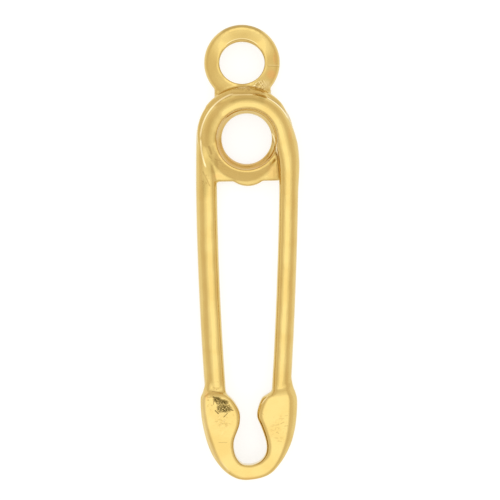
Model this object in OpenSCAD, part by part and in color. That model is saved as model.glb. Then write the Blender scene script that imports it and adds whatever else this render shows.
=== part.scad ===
// Safety pin charm, cast in one piece: a hanging eye, a coil of one and a half turns,
// two slightly bowed legs and a clasp in the form of a strap bent into a U.
// The charm lies on its back. X runs across it, Y along it with the eye at +Y, Z is up.
// The origin is at the height of the lowest point, under the middle of the charm's box.

/* [Eye] */
// Radius of the hole that a jump ring passes through
eye_hole_r = 1.2; // [1.1:0.02:1.26]
// Outer radius of the eye
eye_outer_r = 2.1; // [2.04:0.02:2.16]
// Thickness of the eye, front to back
eye_thickness = 1.0; // [0.8:0.05:1.1]
// Width of the chamfer on the outer edges of the eye
eye_outer_chamfer = 0.16; // [0.06:0.01:0.22]
// Width of the chamfer at the two mouths of the hole
eye_mouth_chamfer = 0.08; // [0.03:0.01:0.12]
// Middle of the eye, across the charm
eye_x = -0.31; // [-0.4:0.01:-0.2]
// Middle of the eye, along the charm
eye_y = 10.4; // [10.36:0.01:10.44]
// Height of the middle of the eye
eye_z = 0.85; // [0.8:0.01:0.9]

/* [Coil] */
// Radius of the front turn, to the middle of the wire
front_turn_r = 1.955; // [1.945:0.005:1.965]
// Radius of the lower half turn that crosses from the front to the back
cross_turn_r = 2.02; // [2.01:0.01:2.05]
// Radius of the back half turn
back_turn_r = 2.17; // [2.16:0.01:2.2]
// Wire radius of the front turn
front_wire_r = 0.595; // [0.585:0.005:0.605]
// Wire radius of the lower half turn
cross_wire_r = 0.575; // [0.57:0.005:0.58]
// Wire radius of the back half turn
back_wire_r = 0.56; // [0.555:0.005:0.565]
// Radius of the straight wall inside the coil
coil_hole_r = 1.38; // [1.37:0.01:1.4]
// Height of the middle of the wire in the front turn
front_turn_z = 1.45; // [1.4:0.01:1.5]
// Height of the middle of the wire in the back turn
back_turn_z = 0.575; // [0.575:0.005:0.61]
// How far the back turn lies towards the eye from the front turn
back_turn_shift = 0.08; // [0:0.01:0.12]
// Middle of the front turn, across the charm
coil_x = -0.03; // [-0.05:0.01:0.0]
// Middle of the front turn, along the charm
coil_y = 6.21; // [6.18:0.01:6.24]

/* [Webs] */
// Lower face of the metal that fills the coil and its corners with the legs
web_bottom_z = 0.35; // [0.3:0.05:0.45]
// Upper face of that metal
web_top_z = 1.05; // [0.95:0.05:1.1]
// Lower edge of the webs between the coil and the legs
web_edge_y = 3.9; // [3.85:0.01:4.0]
// Thickness of the neck between the eye and the coil
neck_thickness = 0.8; // [0.7:0.05:0.85]
// Width of the neck
neck_w = 3.14; // [3.06:0.01:3.16]

/* [Legs] */
// Wire radius of the left leg
left_leg_r = 0.545; // [0.53:0.005:0.55]
// Wire radius of the right leg
right_leg_r = 0.515; // [0.5:0.005:0.53]
// Wire radius of the bent stretch between the front turn and the right leg
strand_r = 0.56; // [0.55:0.005:0.575]
// Radius of the long bow of the left leg
left_bow_r = 190; // [170:5:200]
// Radius of the long bow of the right leg
right_bow_r = 260; // [250:5:300]
// Radius of the bend between the front turn and the right leg
strand_bend_r = 7.9; // [7.6:0.1:8.1]
// Height of the middle of both legs where they enter the clasp
leg_end_z = 0.75; // [0.7:0.01:0.8]

/* [Clasp] */
// Thickness of the clasp, front to back
clasp_thickness = 1.5; // [1.4:0.05:1.6]
// Width of the slope along the edges of the clasp's front face
clasp_front_bevel = 0.2; // [0.1:0.01:0.24]
// Depth of that slope
clasp_front_drop = 0.28; // [0.1:0.01:0.4]
// Width and depth of the slope along the edges of the back face
clasp_back_bevel = 0.1; // [0.05:0.01:0.15]

/* [Hidden] */
$fn = 64;
// Sides of a whole circle as wide as the bows of the legs
bow_sides = 3600;

// The clasp as a strap, one row for each section, from the top of the left lobe down,
// through the bottom of the U and up to the top of the right lobe.
// Columns: outer edge x and y, inner edge x and y, lowered front face, raised back face.
clasp_rows = [
    [-2.36,  -7.36, -1.19,  -7.68, 0.26, 0.24],
    [-2.58,  -7.99, -0.78,  -8.16, 0.00, 0.00],
    [-2.56,  -8.79, -0.44,  -8.79, 0.00, 0.00],
    [-2.45,  -9.56, -0.45,  -9.50, 0.00, 0.00],
    [-2.20, -10.52, -0.75, -10.38, 0.00, 0.00],
    [-1.82, -11.34, -0.69, -11.09, 0.00, 0.00],
    [-1.21, -12.06, -0.38, -11.57, 0.00, 0.00],
    [-0.44, -12.47, -0.01, -11.67, 0.00, 0.00],
    [ 0.49, -12.44,  0.35, -11.63, 0.00, 0.00],
    [ 1.28, -12.14,  0.74, -11.43, 0.00, 0.00],
    [ 1.92, -11.41,  1.01, -11.01, 0.00, 0.00],
    [ 2.38, -10.52,  1.02, -10.44, 0.00, 0.00],
    [ 2.63,  -9.56,  0.76,  -9.62, 0.00, 0.00],
    [ 2.72,  -8.62,  0.51,  -8.93, 0.00, 0.00],
    [ 2.72,  -8.05,  0.75,  -8.07, 0.00, 0.00],
    [ 2.50,  -7.36,  1.34,  -7.60, 0.26, 0.24]
];
// Smooth steps from each row of the clasp to the next
row_steps = 4;
// How far the legs run into the clasp
leg_end_y = -8.1;

// Overlap of one wire stretch with the next, in millimetres along the wire
lap = 0.18;
full_turn = 360;
half_turn = 180;

// Angle above the right side of the coil where the wire leaves the front turn
strand_start_angle = 20;
// Angle past the vertical where the bend ends and the long bow of the right leg starts
strand_end_angle = -0.64;

eye_centre = [eye_x, eye_y];
coil_centre = [coil_x, coil_y];

// Where the three stretches of the coil meet, across the charm
left_joint_x = coil_x - front_turn_r;
right_joint_x = left_joint_x + 2 * cross_turn_r;
left_leg_x = right_joint_x - 2 * back_turn_r;
back_turn_y = coil_y + back_turn_shift;

// The lower half turn lies in a plane that falls from the front turn to the back turn
turn_drop = front_turn_z - back_turn_z;
cross_tilt = atan(turn_drop / (2 * cross_turn_r));
cross_r = norm([2 * cross_turn_r, turn_drop]) / 2;

// The disc of metal inside the wire of the coil
core_r = front_turn_r + 0.05;
// How far the upper corners of the neck lie inside the rim of the eye
neck_sink = 0.03;

function degrees_of(length, radius) = length / radius * half_turn / PI;

// A stretch of round wire bent round a centre in the plane of the charm
module wire_arc(centre, radius, wire_r, from_angle, to_angle, sides = 96)
    translate(centre)
        rotate([0, 0, from_angle])
            rotate_extrude(angle = to_angle - from_angle, $fn = sides)
                translate([radius, 0])
                    circle(r = wire_r, $fn = 48);

// An outline made into a plate between two heights
module plate(bottom_z, top_z)
    translate([0, 0, bottom_z])
        linear_extrude(top_z - bottom_z)
            children();

// Ring with a straight hole and chamfered edges
module eye() {
    half = eye_thickness / 2;
    outer = eye_outer_chamfer;
    mouth = eye_mouth_chamfer;
    translate([eye_x, eye_y, eye_z])
        rotate_extrude()
            polygon([
                [eye_hole_r, -half + mouth],
                [eye_hole_r + mouth, -half],
                [eye_outer_r - outer, -half],
                [eye_outer_r, -half + outer],
                [eye_outer_r, half - outer],
                [eye_outer_r - outer, half],
                [eye_hole_r + mouth, half],
                [eye_hole_r, half - mouth]
            ]);
}

// Short block between the lower rim of the eye and the top of the coil
module neck() {
    top = eye_y - sqrt(pow(eye_outer_r, 2) - pow(neck_w / 2, 2)) - neck_sink;
    bottom = coil_y + front_turn_r;
    plate(eye_z - neck_thickness / 2, eye_z + neck_thickness / 2)
        translate([eye_x - neck_w / 2, bottom])
            square([neck_w, top - bottom]);
}

// Front turn, from the right side over the top to the left side
module front_turn()
    wire_arc([coil_x, coil_y, front_turn_z], front_turn_r, front_wire_r,
             strand_start_angle, half_turn);

// Lower half turn, from the left side under the hole to the right side, falling to the back
module cross_turn()
    translate([left_joint_x, coil_y, front_turn_z])
        rotate([0, cross_tilt, 0])
            wire_arc([cross_r, 0, 0], cross_r, cross_wire_r,
                     half_turn - degrees_of(lap, cross_r), full_turn);

// Back half turn, from the right side over the top to the left leg
module back_turn()
    wire_arc([right_joint_x - back_turn_r, back_turn_y, back_turn_z], back_turn_r, back_wire_r,
             -degrees_of(lap + back_turn_shift, back_turn_r), half_turn);

// Metal inside the coil, with its hole, and the webs in its corners with the legs
module core()
    plate(web_bottom_z, web_top_z)
        difference() {
            union() {
                translate(coil_centre)
                    circle(r = core_r);
                translate([left_leg_x, web_edge_y])
                    square([right_joint_x - left_leg_x, coil_y - web_edge_y]);
            }
            translate(coil_centre)
                circle(r = coil_hole_r);
        }

// Right leg with the bend that brings it off the front turn, sloping back to the clasp
module right_leg() {
    start = coil_centre + front_turn_r * [cos(strand_start_angle), sin(strand_start_angle)];
    bend_centre = start - strand_bend_r * [cos(strand_start_angle), sin(strand_start_angle)];
    bow_centre = bend_centre
        + (strand_bend_r - right_bow_r) * [cos(strand_end_angle), sin(strand_end_angle)];
    slope = atan((front_turn_z - leg_end_z) / (start.y - leg_end_y));
    translate([0, start.y, front_turn_z])
        rotate([slope, 0, 0])
            translate([0, -start.y, 0]) {
                wire_arc(bend_centre, strand_bend_r, strand_r, strand_end_angle,
                         strand_start_angle + degrees_of(lap, strand_bend_r), bow_sides);
                wire_arc(bow_centre, right_bow_r, right_leg_r,
                         asin((leg_end_y - bow_centre.y) / right_bow_r),
                         strand_end_angle + degrees_of(lap, right_bow_r), bow_sides);
            }
}

// Left leg, which carries on from the back turn and slopes forward to the clasp
module left_leg() {
    slope = atan((back_turn_z - leg_end_z) / (back_turn_y - leg_end_y));
    bow = asin((back_turn_y - leg_end_y) / left_bow_r);
    translate([0, back_turn_y, back_turn_z])
        rotate([slope, 0, 0])
            wire_arc([left_leg_x + left_bow_r, 0, 0], left_bow_r, left_leg_r,
                     half_turn - degrees_of(lap, left_bow_r), half_turn + bow, bow_sides);
}

// Smooth curve through four neighbouring rows, at t from 0 to 1 between the middle two
function blend_rows(a, b, c, d, t) =
    0.5 * (2 * b + (c - a) * t + (2 * a - 5 * b + 4 * c - d) * t * t
           + (3 * b - 3 * c + d - a) * t * t * t);

function smooth_rows(rows, steps) =
    let (last = len(rows) - 1)
    [for (i = [0 : last - 1], k = [0 : (i == last - 1 ? steps : steps - 1)])
        blend_rows(rows[max(i - 1, 0)], rows[i], rows[i + 1], rows[min(i + 2, last)], k / steps)];

// Eight corners of the strap at one section, from the outer edge of the front face round
function strap_section(row) =
    let (
        outer = [row[0], row[1]],
        inner = [row[2], row[3]],
        across = (inner - outer) / norm(inner - outer),
        front = clasp_thickness - max(row[4], 0),
        back = max(row[5], 0),
        front_outer = outer + across * clasp_front_bevel,
        front_inner = inner - across * clasp_front_bevel,
        back_outer = outer + across * clasp_back_bevel,
        back_inner = inner - across * clasp_back_bevel
    )
    [
        [front_outer.x, front_outer.y, front],
        [front_inner.x, front_inner.y, front],
        [inner.x, inner.y, front - clasp_front_drop],
        [inner.x, inner.y, back + clasp_back_bevel],
        [back_inner.x, back_inner.y, back],
        [back_outer.x, back_outer.y, back],
        [outer.x, outer.y, back + clasp_back_bevel],
        [outer.x, outer.y, front - clasp_front_drop]
    ];

// Strap bent into a U, with the two lobes that hold the ends of the legs
module clasp() {
    sections = [for (row = smooth_rows(clasp_rows, row_steps)) strap_section(row)];
    corners = len(sections[0]);
    last = len(sections) - 1;
    sides = [for (s = [0 : last - 1], c = [0 : corners - 1])
        let (next = (c + 1) % corners)
        [s * corners + c, s * corners + next, (s + 1) * corners + next, (s + 1) * corners + c]];
    first_cap = [for (c = [corners - 1 : -1 : 0]) c];
    last_cap = [for (c = [0 : corners - 1]) last * corners + c];
    polyhedron(
        points = [for (section = sections, corner = section) corner],
        faces = concat(sides, [first_cap, last_cap]));
}

// The whole casting
module pin_charm()
    color("goldenrod")
        union() {
            eye();
            neck();
            front_turn();
            cross_turn();
            back_turn();
            core();
            right_leg();
            left_leg();
            clasp();
        }

pin_charm();
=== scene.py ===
import math

import bmesh
import bpy
from mathutils import Matrix, Vector


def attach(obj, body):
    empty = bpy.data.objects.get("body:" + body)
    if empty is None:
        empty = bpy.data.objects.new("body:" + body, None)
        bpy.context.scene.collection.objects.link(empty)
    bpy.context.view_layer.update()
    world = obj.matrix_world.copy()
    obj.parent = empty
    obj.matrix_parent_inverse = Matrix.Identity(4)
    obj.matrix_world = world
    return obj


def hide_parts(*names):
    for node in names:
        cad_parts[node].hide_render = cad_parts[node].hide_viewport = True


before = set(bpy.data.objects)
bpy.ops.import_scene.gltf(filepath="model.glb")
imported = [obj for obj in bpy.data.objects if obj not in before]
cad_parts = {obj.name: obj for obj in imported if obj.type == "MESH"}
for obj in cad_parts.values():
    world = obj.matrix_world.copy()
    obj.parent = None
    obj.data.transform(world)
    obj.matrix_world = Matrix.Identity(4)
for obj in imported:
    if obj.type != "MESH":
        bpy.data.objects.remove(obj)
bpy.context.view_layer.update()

# The casting is modelled in millimetres and brought to metres when it is finished
MM = 0.001
FRONT = Vector((0, 0, 1))
# Points nearer than the first are merged, and nearer than the second they are at one place
MERGE_GAP = 0.0005
NEAR = 0.01
# Fineness of the wire round its section, of its bends, of the rings and of their corners
WIRE_SIDES = 48
BEND_STEP_DEGREES = 3.75
RING_STEP_DEGREES = 4
CORNER_STEPS = 5
BLOCK_CORNER_STEPS = 3
# Vertices of a ring within this many degrees of a bearing belong to its section there
BEARING_GAP = 1
# Height above which a vertex of the cheek or the shoulder belongs to its front
RING_FRONT_Z = 0.9

# Coil: middle of its hole, height of its front turn, and where both wires start on that turn
COIL_X = -0.03
COIL_Y = 6.21
COIL = Vector((COIL_X, COIL_Y, 0))
FRONT_TURN_Z = 1.49
START_ANGLE = 30
START_R = 1.98
START_WIRE_R = 0.525
START_LEAN = 0.25
# Slant of the long side of the wire's section where its crest leans over
LEAN_ANGLE = 32
# Height that the back turn gains up to its top
BACK_TURN_RISE = 0.12
# Bends of the front turn, the lower half turn and the back turn, from the wire's start to the left leg.
# Columns: radius, degrees, radius of the wire at the end, lean of its crest there or None, rise.
LEFT_BENDS = [
    (2.00, 60, 0.50, 0.3, 0),
    (2.08, 45, 0.49, 0.4, -0.1),
    (2.08, 45, 0.48, 0.5, -0.42),
    (1.70, 45, 0.46, 0.5, -0.4),
    (2.31, 45, 0.40, 0.2, 0),
    (2.16, 45, 0.44, 0, 0),
    (2.00, 45, 0.42, None, 0.04),
    (2.04, 45, 0.52, None, BACK_TURN_RISE / 2),
    (2.25, 45, 0.56, None, BACK_TURN_RISE / 2),
    (2.28, 45, 0.56, None, -BACK_TURN_RISE / 2),
    (2.05, 45, 0.55, None, -BACK_TURN_RISE / 2),
]

# Legs: where the middle of the wire ends in the clasp, and the steps in which a leg is drawn
LEG_END_Y = -8.1
LEG_END_Z = 0.75
LEG_STEPS = 20
# Left leg: radius of its bow, its first stretch, over which its crest leans, and the wire's radii
LEFT_BOW_R = 190
LEFT_LEAN_LENGTH = 2.6
LEFT_LEAN_STEPS = 6
LEFT_LEAN = 0.26
LEFT_LEAN_END_R = 0.55
LEFT_END_R = 0.545
# Right leg: radius of its bow, and its bends down to that bow. The first lies level.
# Columns: radius, degrees, steps, radius of the wire at the end, lean of its crest there or None.
RIGHT_BOW_R = 260
RIGHT_END_R = 0.515
RIGHT_LEVEL_BEND = (START_R, -8.5, 4, 0.55, None)
RIGHT_BENDS = [
    (6.6, -10, 8, 0.585, None),
    (6.6, -12.14, 10, 0.56, -0.1),
    (RIGHT_BOW_R, -0.25, 4, 0.517, None),
]

# Cutters that cleaned the hole of the coil: radius and height of the points of their outlines
CUTTER_SIDES = 96
CUTTER_TOP_Z = 2.4
HOLE_OUTLINE = [(1.38, 0.1), (1.38, CUTTER_TOP_Z)]
HOLE_SHIFT = Vector((-0.02, 0.02, 0))
LEDGE_OUTLINE = [(1.67, 1.28), (1.69, CUTTER_TOP_Z)]
SINK_OUTLINE = [(1.19, 0.4), (1.34, 0.85), (1.5, 1.05), (1.62, 1.3), (1.66, CUTTER_TOP_Z)]
SINK_SHIFT = Vector((-0.04, -0.1, 0))
# Slope of the ledge and of the metal under it, which are higher towards the eye
LEDGE_TILT = 6

# Measures of a ring: its radii, the heights of its back and front, the roundness of its corners, the
# fall of its front towards the outside and how far that front bulges, all in millimetres, then its
# turn and its first bearing in degrees, anticlockwise from the right. Without a turn it is whole.

# Eye: its hole is a little flattened, and its front falls from the hole to the rim
EYE_X = -0.31
EYE_Y = 10.4
EYE = Vector((EYE_X, EYE_Y, 0))
EYE_RING = {
    "inner": 1.24, "outer": 2.09, "back": 0.37, "front": 1.3, "corner": 0.2, "inner_corner": 0.08,
    "drop": 0.335, "crown": 0.002}
EYE_HOLE_FLATTENING = 0.925
EYE_HOLE_Y = 10.38
# Tilt of its front about a line this far above its middle, and the height where its front begins
EYE_TILT = 4
EYE_TILT_REACH = 1.2
EYE_SIDE_Z = 0.735
# Rise of its rim towards its top, the share of it that the crown of the front rises, how far to
# each side the crown reaches, and the height above which the rim rises
EYE_TOP_RISE = 0.46
EYE_CROWN_SHARE = 0.65
EYE_CROWN_MARGIN = 0.1
EYE_RIM_Z = 0.8

# Webs in the corners of the coil and the legs, and the round lip between them
WEB_BACK_Z = 0.3
WEB_FRONT_Z = 1.07
WEB_CORNER = 0.05
WEB_LOW = (-2.2, 3.88, WEB_BACK_Z)
WEB_HIGH = (2.2, 4.9, WEB_FRONT_Z)
WEB_TURN = 1.5
LIP = Vector((0, 4.91, 0))
LIP_RING = {
    "inner": 0.3, "outer": 1.3, "back": WEB_BACK_Z, "front": WEB_FRONT_Z, "corner": WEB_CORNER}
# Their slopes about a point on their front: up towards the right leg, down towards the clasp
WEB_TILT = 3
WEB_SLOPE = 9
WEB_PIVOT = Vector((0, 4.2, WEB_FRONT_Z))

# Metal inside the coil, and its raised part under the front turn
CORE_FRONT_Z = 1.3
CORE_RING = {
    "inner": 1.3, "outer": 2.05, "back": WEB_BACK_Z, "front": CORE_FRONT_Z, "corner": WEB_CORNER}
RIDGE_RING = {
    "inner": 1.36, "outer": 2.26, "back": WEB_BACK_Z, "front": 1.28, "corner": 0.04, "drop": 0.2,
    "crown": 0.2, "turn": 212, "first": 160}
# Cheek of the coil at its left, which fades towards the left leg
CHEEK_RING = {
    "inner": 1.12, "outer": 2.5, "back": WEB_BACK_Z, "front": 1.26, "corner": 0.04, "drop": 0.16,
    "crown": 0.2, "turn": 80, "first": 148}
CHEEK_FADE = 0.22
CHEEK_FADE_STEPS = 8

# Band that shows of the back turn outside the front turn, and how far it draws in at its first end,
# beside the right leg
BAND = COIL + Vector((-0.1, 0.21, 0))
BAND_RING = {
    "inner": 2.1, "outer": 2.65, "back": WEB_BACK_Z, "front": 1.14, "corner": 0.18, "turn": 200,
    "first": 18}
BAND_TILT = 3.4
BAND_END_INSET = 0.11
BAND_END_STEPS = 6
# Neck between the band and the eye, and the shoulder of the band there, which fades at both ends
NECK_BACK_Z = 0.4
NECK_LOW = (-1.845, 8.35, NECK_BACK_Z)
NECK_HIGH = (1.296, 9.1, 0.76)
NECK_CORNER = 0.2
SHOULDER = BAND + Vector((-0.12, -0.04, 0))
SHOULDER_RING = {
    "inner": 1.84, "outer": 2.62, "back": NECK_BACK_Z, "front": 1.72, "corner": 0.08, "drop": 0.3,
    "crown": 0.13, "turn": 96, "first": 46}
SHOULDER_FADE = 0.38

# Clasp
CLASP_FRONT_Z = 1.5
CLASP_BACK_BEVEL = 0.1
CLASP_END_BEVEL = 0.08
CLASP_BEVEL_STEPS = 3
CLASP_BEVEL_PROFILE = 0.32
# Rise of the back of the clasp where its front falls to a leg, as a share of that fall, and the
# least fall that counts
CLASP_BACK_SHARE = 0.9
CLASP_LEAST_FALL = 0.005
# Sections of the clasp's strap, from the left lobe round the bottom to the right lobe.
# Columns: outer edge x and y, inner edge x and y, width of the bevel on each edge, height.
CLASP_ROWS = [
    (-2.30, -6.95, -1.26, -7.15, 0.24, 0.08, 1.14),
    (-2.37, -7.38, -1.22, -7.52, 0.28, 0.12, 1.22),
    (-2.44, -7.60, -1.17, -7.72, 0.28, 0.14, 1.27),
    (-2.48, -7.76, -1.08, -7.86, 0.28, 0.16, 1.42),
    (-2.58, -7.99, -0.78, -8.16, 0.26, 0.19, 1.5),
    (-2.56, -8.79, -0.44, -8.79, 0.22, 0.18, 1.5),
    (-2.45, -9.56, -0.45, -9.50, 0.28, 0.15, 1.5),
    (-2.20, -10.52, -0.75, -10.38, 0.34, 0.14, 1.5),
    (-1.82, -11.34, -0.69, -11.09, 0.26, 0.12, 1.5),
    (-1.21, -12.06, -0.38, -11.57, 0.14, 0.12, 1.5),
    (-0.44, -12.47, -0.01, -11.67, 0.10, 0.12, 1.5),
    (0.49, -12.44, 0.35, -11.63, 0.10, 0.12, 1.5),
    (1.28, -12.14, 0.74, -11.43, 0.12, 0.14, 1.5),
    (1.92, -11.41, 1.01, -11.01, 0.20, 0.24, 1.5),
    (2.38, -10.52, 1.02, -10.44, 0.34, 0.26, 1.5),
    (2.63, -9.56, 0.76, -9.62, 0.42, 0.24, 1.5),
    (2.72, -8.62, 0.51, -8.93, 0.44, 0.26, 1.5),
    (2.72, -8.05, 0.75, -8.07, 0.44, 0.34, 1.5),
    (2.63, -7.70, 1.05, -7.82, 0.44, 0.34, 1.45),
    (2.50, -7.36, 1.34, -7.60, 0.40, 0.20, 1.33),
    (2.44, -7.05, 1.42, -7.25, 0.32, 0.08, 1.22),
    (2.40, -6.80, 1.46, -6.95, 0.24, 0.06, 1.12),
]
# Places of three of those columns, counted from 0
OUTER_BEVEL = 4
INNER_BEVEL = 5
HEIGHT = 6
# Steps of the curve from each row to the next
CLASP_STEPS = 5

# Casting: grain of the fused metal, and how strongly and how often its corners are softened
VOXEL = 0.056
SOFTENING = 0.5
SOFTENING_ROUNDS = 4


def deselect():
    bpy.ops.object.select_all(action="DESELECT")


def edit(piece):
    """Opens the piece in edit mode, with no other piece selected."""
    deselect()
    bpy.context.view_layer.objects.active = piece
    piece.select_set(True)
    bpy.ops.object.mode_set(mode="EDIT")


def leave():
    bpy.ops.object.mode_set(mode="OBJECT")


def begin(name):
    """Names the primitive that was just added, fixes its place in its mesh and opens it in edit mode."""
    piece = bpy.context.object
    piece.name = name
    bpy.ops.object.transform_apply(location=True, rotation=True, scale=True)
    edit(piece)
    return piece


def pick(piece, test, kind="verts"):
    """Selects the vertices or edges of the piece in edit mode that pass the test, and no others."""
    mesh = bmesh.from_edit_mesh(piece.data)
    for part in list(mesh.faces) + list(mesh.edges) + list(mesh.verts):
        part.select_set(False)
    for part in getattr(mesh, kind):
        if test(part):
            part.select_set(True)
    mesh.select_flush_mode()
    bmesh.update_edit_mesh(piece.data)


def bearing(point, centre):
    """Direction of a point from a centre, in degrees from 0 to 360."""
    return math.degrees(math.atan2(point.y - centre.y, point.x - centre.x)) % 360


def pick_bearing(piece, centre, angle, above=0):
    """Selects the part of a ring's section at a bearing that lies above a height."""
    pick(piece, lambda v: v.co.z > above and abs(bearing(v.co, centre) - angle) < BEARING_GAP)


def select_all():
    bpy.ops.mesh.select_all(action="SELECT")


def move(step):
    bpy.ops.transform.translate(value=step)


def rotate(angle, centre, axis="X"):
    """Turns what is selected anticlockwise. Without a window the operator turns the other way."""
    bpy.ops.transform.rotate(value=-angle, orient_axis=axis, center_override=centre)


def tip(degrees, centre):
    """Raises the side of the piece in edit mode that is nearer to the eye."""
    select_all()
    rotate(math.radians(degrees), centre)


def mend():
    """Merges doubles and turns all faces outwards, in edit mode."""
    select_all()
    bpy.ops.mesh.remove_doubles(threshold=MERGE_GAP)
    bpy.ops.mesh.normals_make_consistent(inside=False)


def apply_modifier(piece, kind, **settings):
    """Gives the piece a modifier with these settings and applies it."""
    modifier = piece.modifiers.new(kind.lower(), kind)
    for name, value in settings.items():
        setattr(modifier, name, value)
    bpy.context.view_layer.objects.active = piece
    bpy.ops.object.modifier_apply(modifier=modifier.name)


class Wire:
    """A round wire drawn from its first end, ring by ring. Its state is the last ring."""

    def __init__(self, name, centre, heading, radius):
        self.centre = centre.copy()
        self.heading = heading.normalized()
        self.normal = FRONT.copy()
        self.radius = radius
        self.lean = 0
        side = self.normal.cross(self.heading)
        axes = Matrix((side, self.normal, side.cross(self.normal))).transposed()
        deselect()
        bpy.ops.mesh.primitive_circle_add(
            vertices=WIRE_SIDES, radius=radius, location=self.centre, rotation=axes.to_euler())
        self.piece = begin(name)

    def lean_to(self, lean):
        """Moves the wire's crest to its left, or below zero to its right, by stretching it aslant."""
        side = self.normal.cross(self.heading)
        if min(lean, self.lean) < 0:
            side = -side
        slant = math.radians(LEAN_ANGLE)
        long = side * math.cos(slant) + self.normal * math.sin(slant)
        short = side * math.sin(slant) - self.normal * math.cos(slant)
        axes = Matrix((long, short, long.cross(short))).transposed()
        stretch = math.exp((abs(lean) - abs(self.lean)) / 2)
        bpy.ops.transform.resize(
            value=(stretch, 1 / stretch, 1), orient_type="GLOBAL", orient_matrix=axes,
            orient_matrix_type="GLOBAL", center_override=self.centre)
        self.lean = lean

    def bend(self, radius, degrees, steps, end_radius, lean=None, rise=0):
        """Carries the wire round a bend. Positive degrees turn it to its left."""
        side = 1 if degrees > 0 else -1
        centre = self.centre + self.normal.cross(self.heading) * radius * side
        turn = math.radians(degrees) / steps
        ratio = (end_radius / self.radius) ** (1 / steps)
        step = Matrix.Rotation(turn, 3, self.normal)
        lift = FRONT * rise / steps
        first = self.lean
        for k in range(steps):
            bpy.ops.mesh.spin(steps=1, angle=-turn, center=centre, axis=self.normal)
            self.centre = centre + step @ (self.centre - centre)
            self.heading = step @ self.heading
            bpy.ops.transform.resize(value=(ratio,) * 3, center_override=self.centre)
            if lean is not None:
                self.lean_to(first + (lean - first) * (k + 1) / steps)
            if rise:
                move(lift)
                self.centre = self.centre + lift
                centre = centre + lift
        self.radius = end_radius

    def pitch(self, degrees):
        """Tips the wire up out of the plane of its last bend."""
        side = self.normal.cross(self.heading)
        turn = Matrix.Rotation(math.radians(-degrees), 3, side)
        self.heading = turn @ self.heading
        self.normal = turn @ self.normal

    def close(self):
        """Caps both ends."""
        bpy.ops.mesh.edge_face_add()
        pick(self.piece, lambda e: e.is_boundary, "edges")
        bpy.ops.mesh.edge_face_add()
        mend()
        leave()
        return self.piece


def coil_start():
    """Where both wires start on the front turn, and the direction outwards from the coil there."""
    angle = math.radians(START_ANGLE)
    out = Vector((math.cos(angle), math.sin(angle), 0))
    return COIL + out * START_R + FRONT * FRONT_TURN_Z, out


def left_wire():
    """Front turn, lower half turn, back turn and left leg."""
    start, out = coil_start()
    wire = Wire("coil", start, FRONT.cross(out), START_WIRE_R)
    wire.lean_to(START_LEAN)
    for radius, degrees, end_radius, lean, rise in LEFT_BENDS:
        wire.bend(radius, degrees, round(degrees / BEND_STEP_DEGREES), end_radius, lean, rise)
    length = wire.centre.y - LEG_END_Y
    wire.pitch(math.degrees(math.atan((LEG_END_Z - wire.centre.z) / length)))
    share = LEFT_LEAN_LENGTH / length
    bow = math.degrees(length / LEFT_BOW_R)
    wire.bend(LEFT_BOW_R, bow * share, LEFT_LEAN_STEPS, LEFT_LEAN_END_R, LEFT_LEAN)
    wire.bend(LEFT_BOW_R, bow * (1 - share), LEG_STEPS, LEFT_END_R)
    return wire.close()


def right_wire():
    """Right leg, from the front turn down to the clasp."""
    start, out = coil_start()
    wire = Wire("right_leg", start, out.cross(FRONT), START_WIRE_R)
    wire.lean_to(-START_LEAN)
    wire.bend(*RIGHT_LEVEL_BEND)
    fall = (FRONT_TURN_Z - LEG_END_Z) / (wire.centre.y - LEG_END_Y)
    wire.pitch(-math.degrees(math.atan(fall)))
    for bend in RIGHT_BENDS:
        wire.bend(*bend)
    length = wire.centre.y - LEG_END_Y
    wire.bend(RIGHT_BOW_R, -math.degrees(length / RIGHT_BOW_R), LEG_STEPS, RIGHT_END_R)
    return wire.close()


def ring(
        name, centre, inner, outer, back, front, corner, drop=0, crown=0, turn=360, first=0,
        inner_corner=None):
    """A ring, or part of one, spun from a rounded section whose front may fall and bulge outwards."""
    deselect()
    place = Vector((centre.x + (inner + outer) / 2, centre.y, (back + front) / 2))
    bpy.ops.mesh.primitive_plane_add(size=1, location=place, rotation=(math.pi / 2, 0, 0))
    piece = begin(name)
    bpy.ops.transform.resize(value=(outer - inner, 1, front - back), center_override=place)
    if drop:
        pick(piece, lambda v: v.co.x > place.x and v.co.z > place.z)
        move(FRONT * -drop)
        pick(piece, lambda e: all(v.co.z > place.z for v in e.verts), "edges")
        bpy.ops.mesh.subdivide(number_cuts=1)
        pick(piece, lambda v: abs(v.co.x - place.x) < NEAR)
        move(FRONT * crown)
    pick(piece, lambda v: v.co.x > place.x + NEAR)
    bpy.ops.mesh.bevel(offset=corner, segments=CORNER_STEPS, affect="VERTICES")
    pick(piece, lambda v: v.co.x < place.x - NEAR)
    bpy.ops.mesh.bevel(offset=inner_corner or corner, segments=CORNER_STEPS, affect="VERTICES")
    select_all()
    if turn == 360:
        bpy.ops.mesh.delete(type="ONLY_FACE")
        select_all()
    pivot = (centre.x, centre.y, 0)
    if first:
        rotate(math.radians(first), pivot, "Z")
    steps = round(turn / RING_STEP_DEGREES)
    bpy.ops.mesh.spin(steps=steps, angle=-math.radians(turn), center=pivot, axis=FRONT)
    mend()
    return piece


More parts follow.
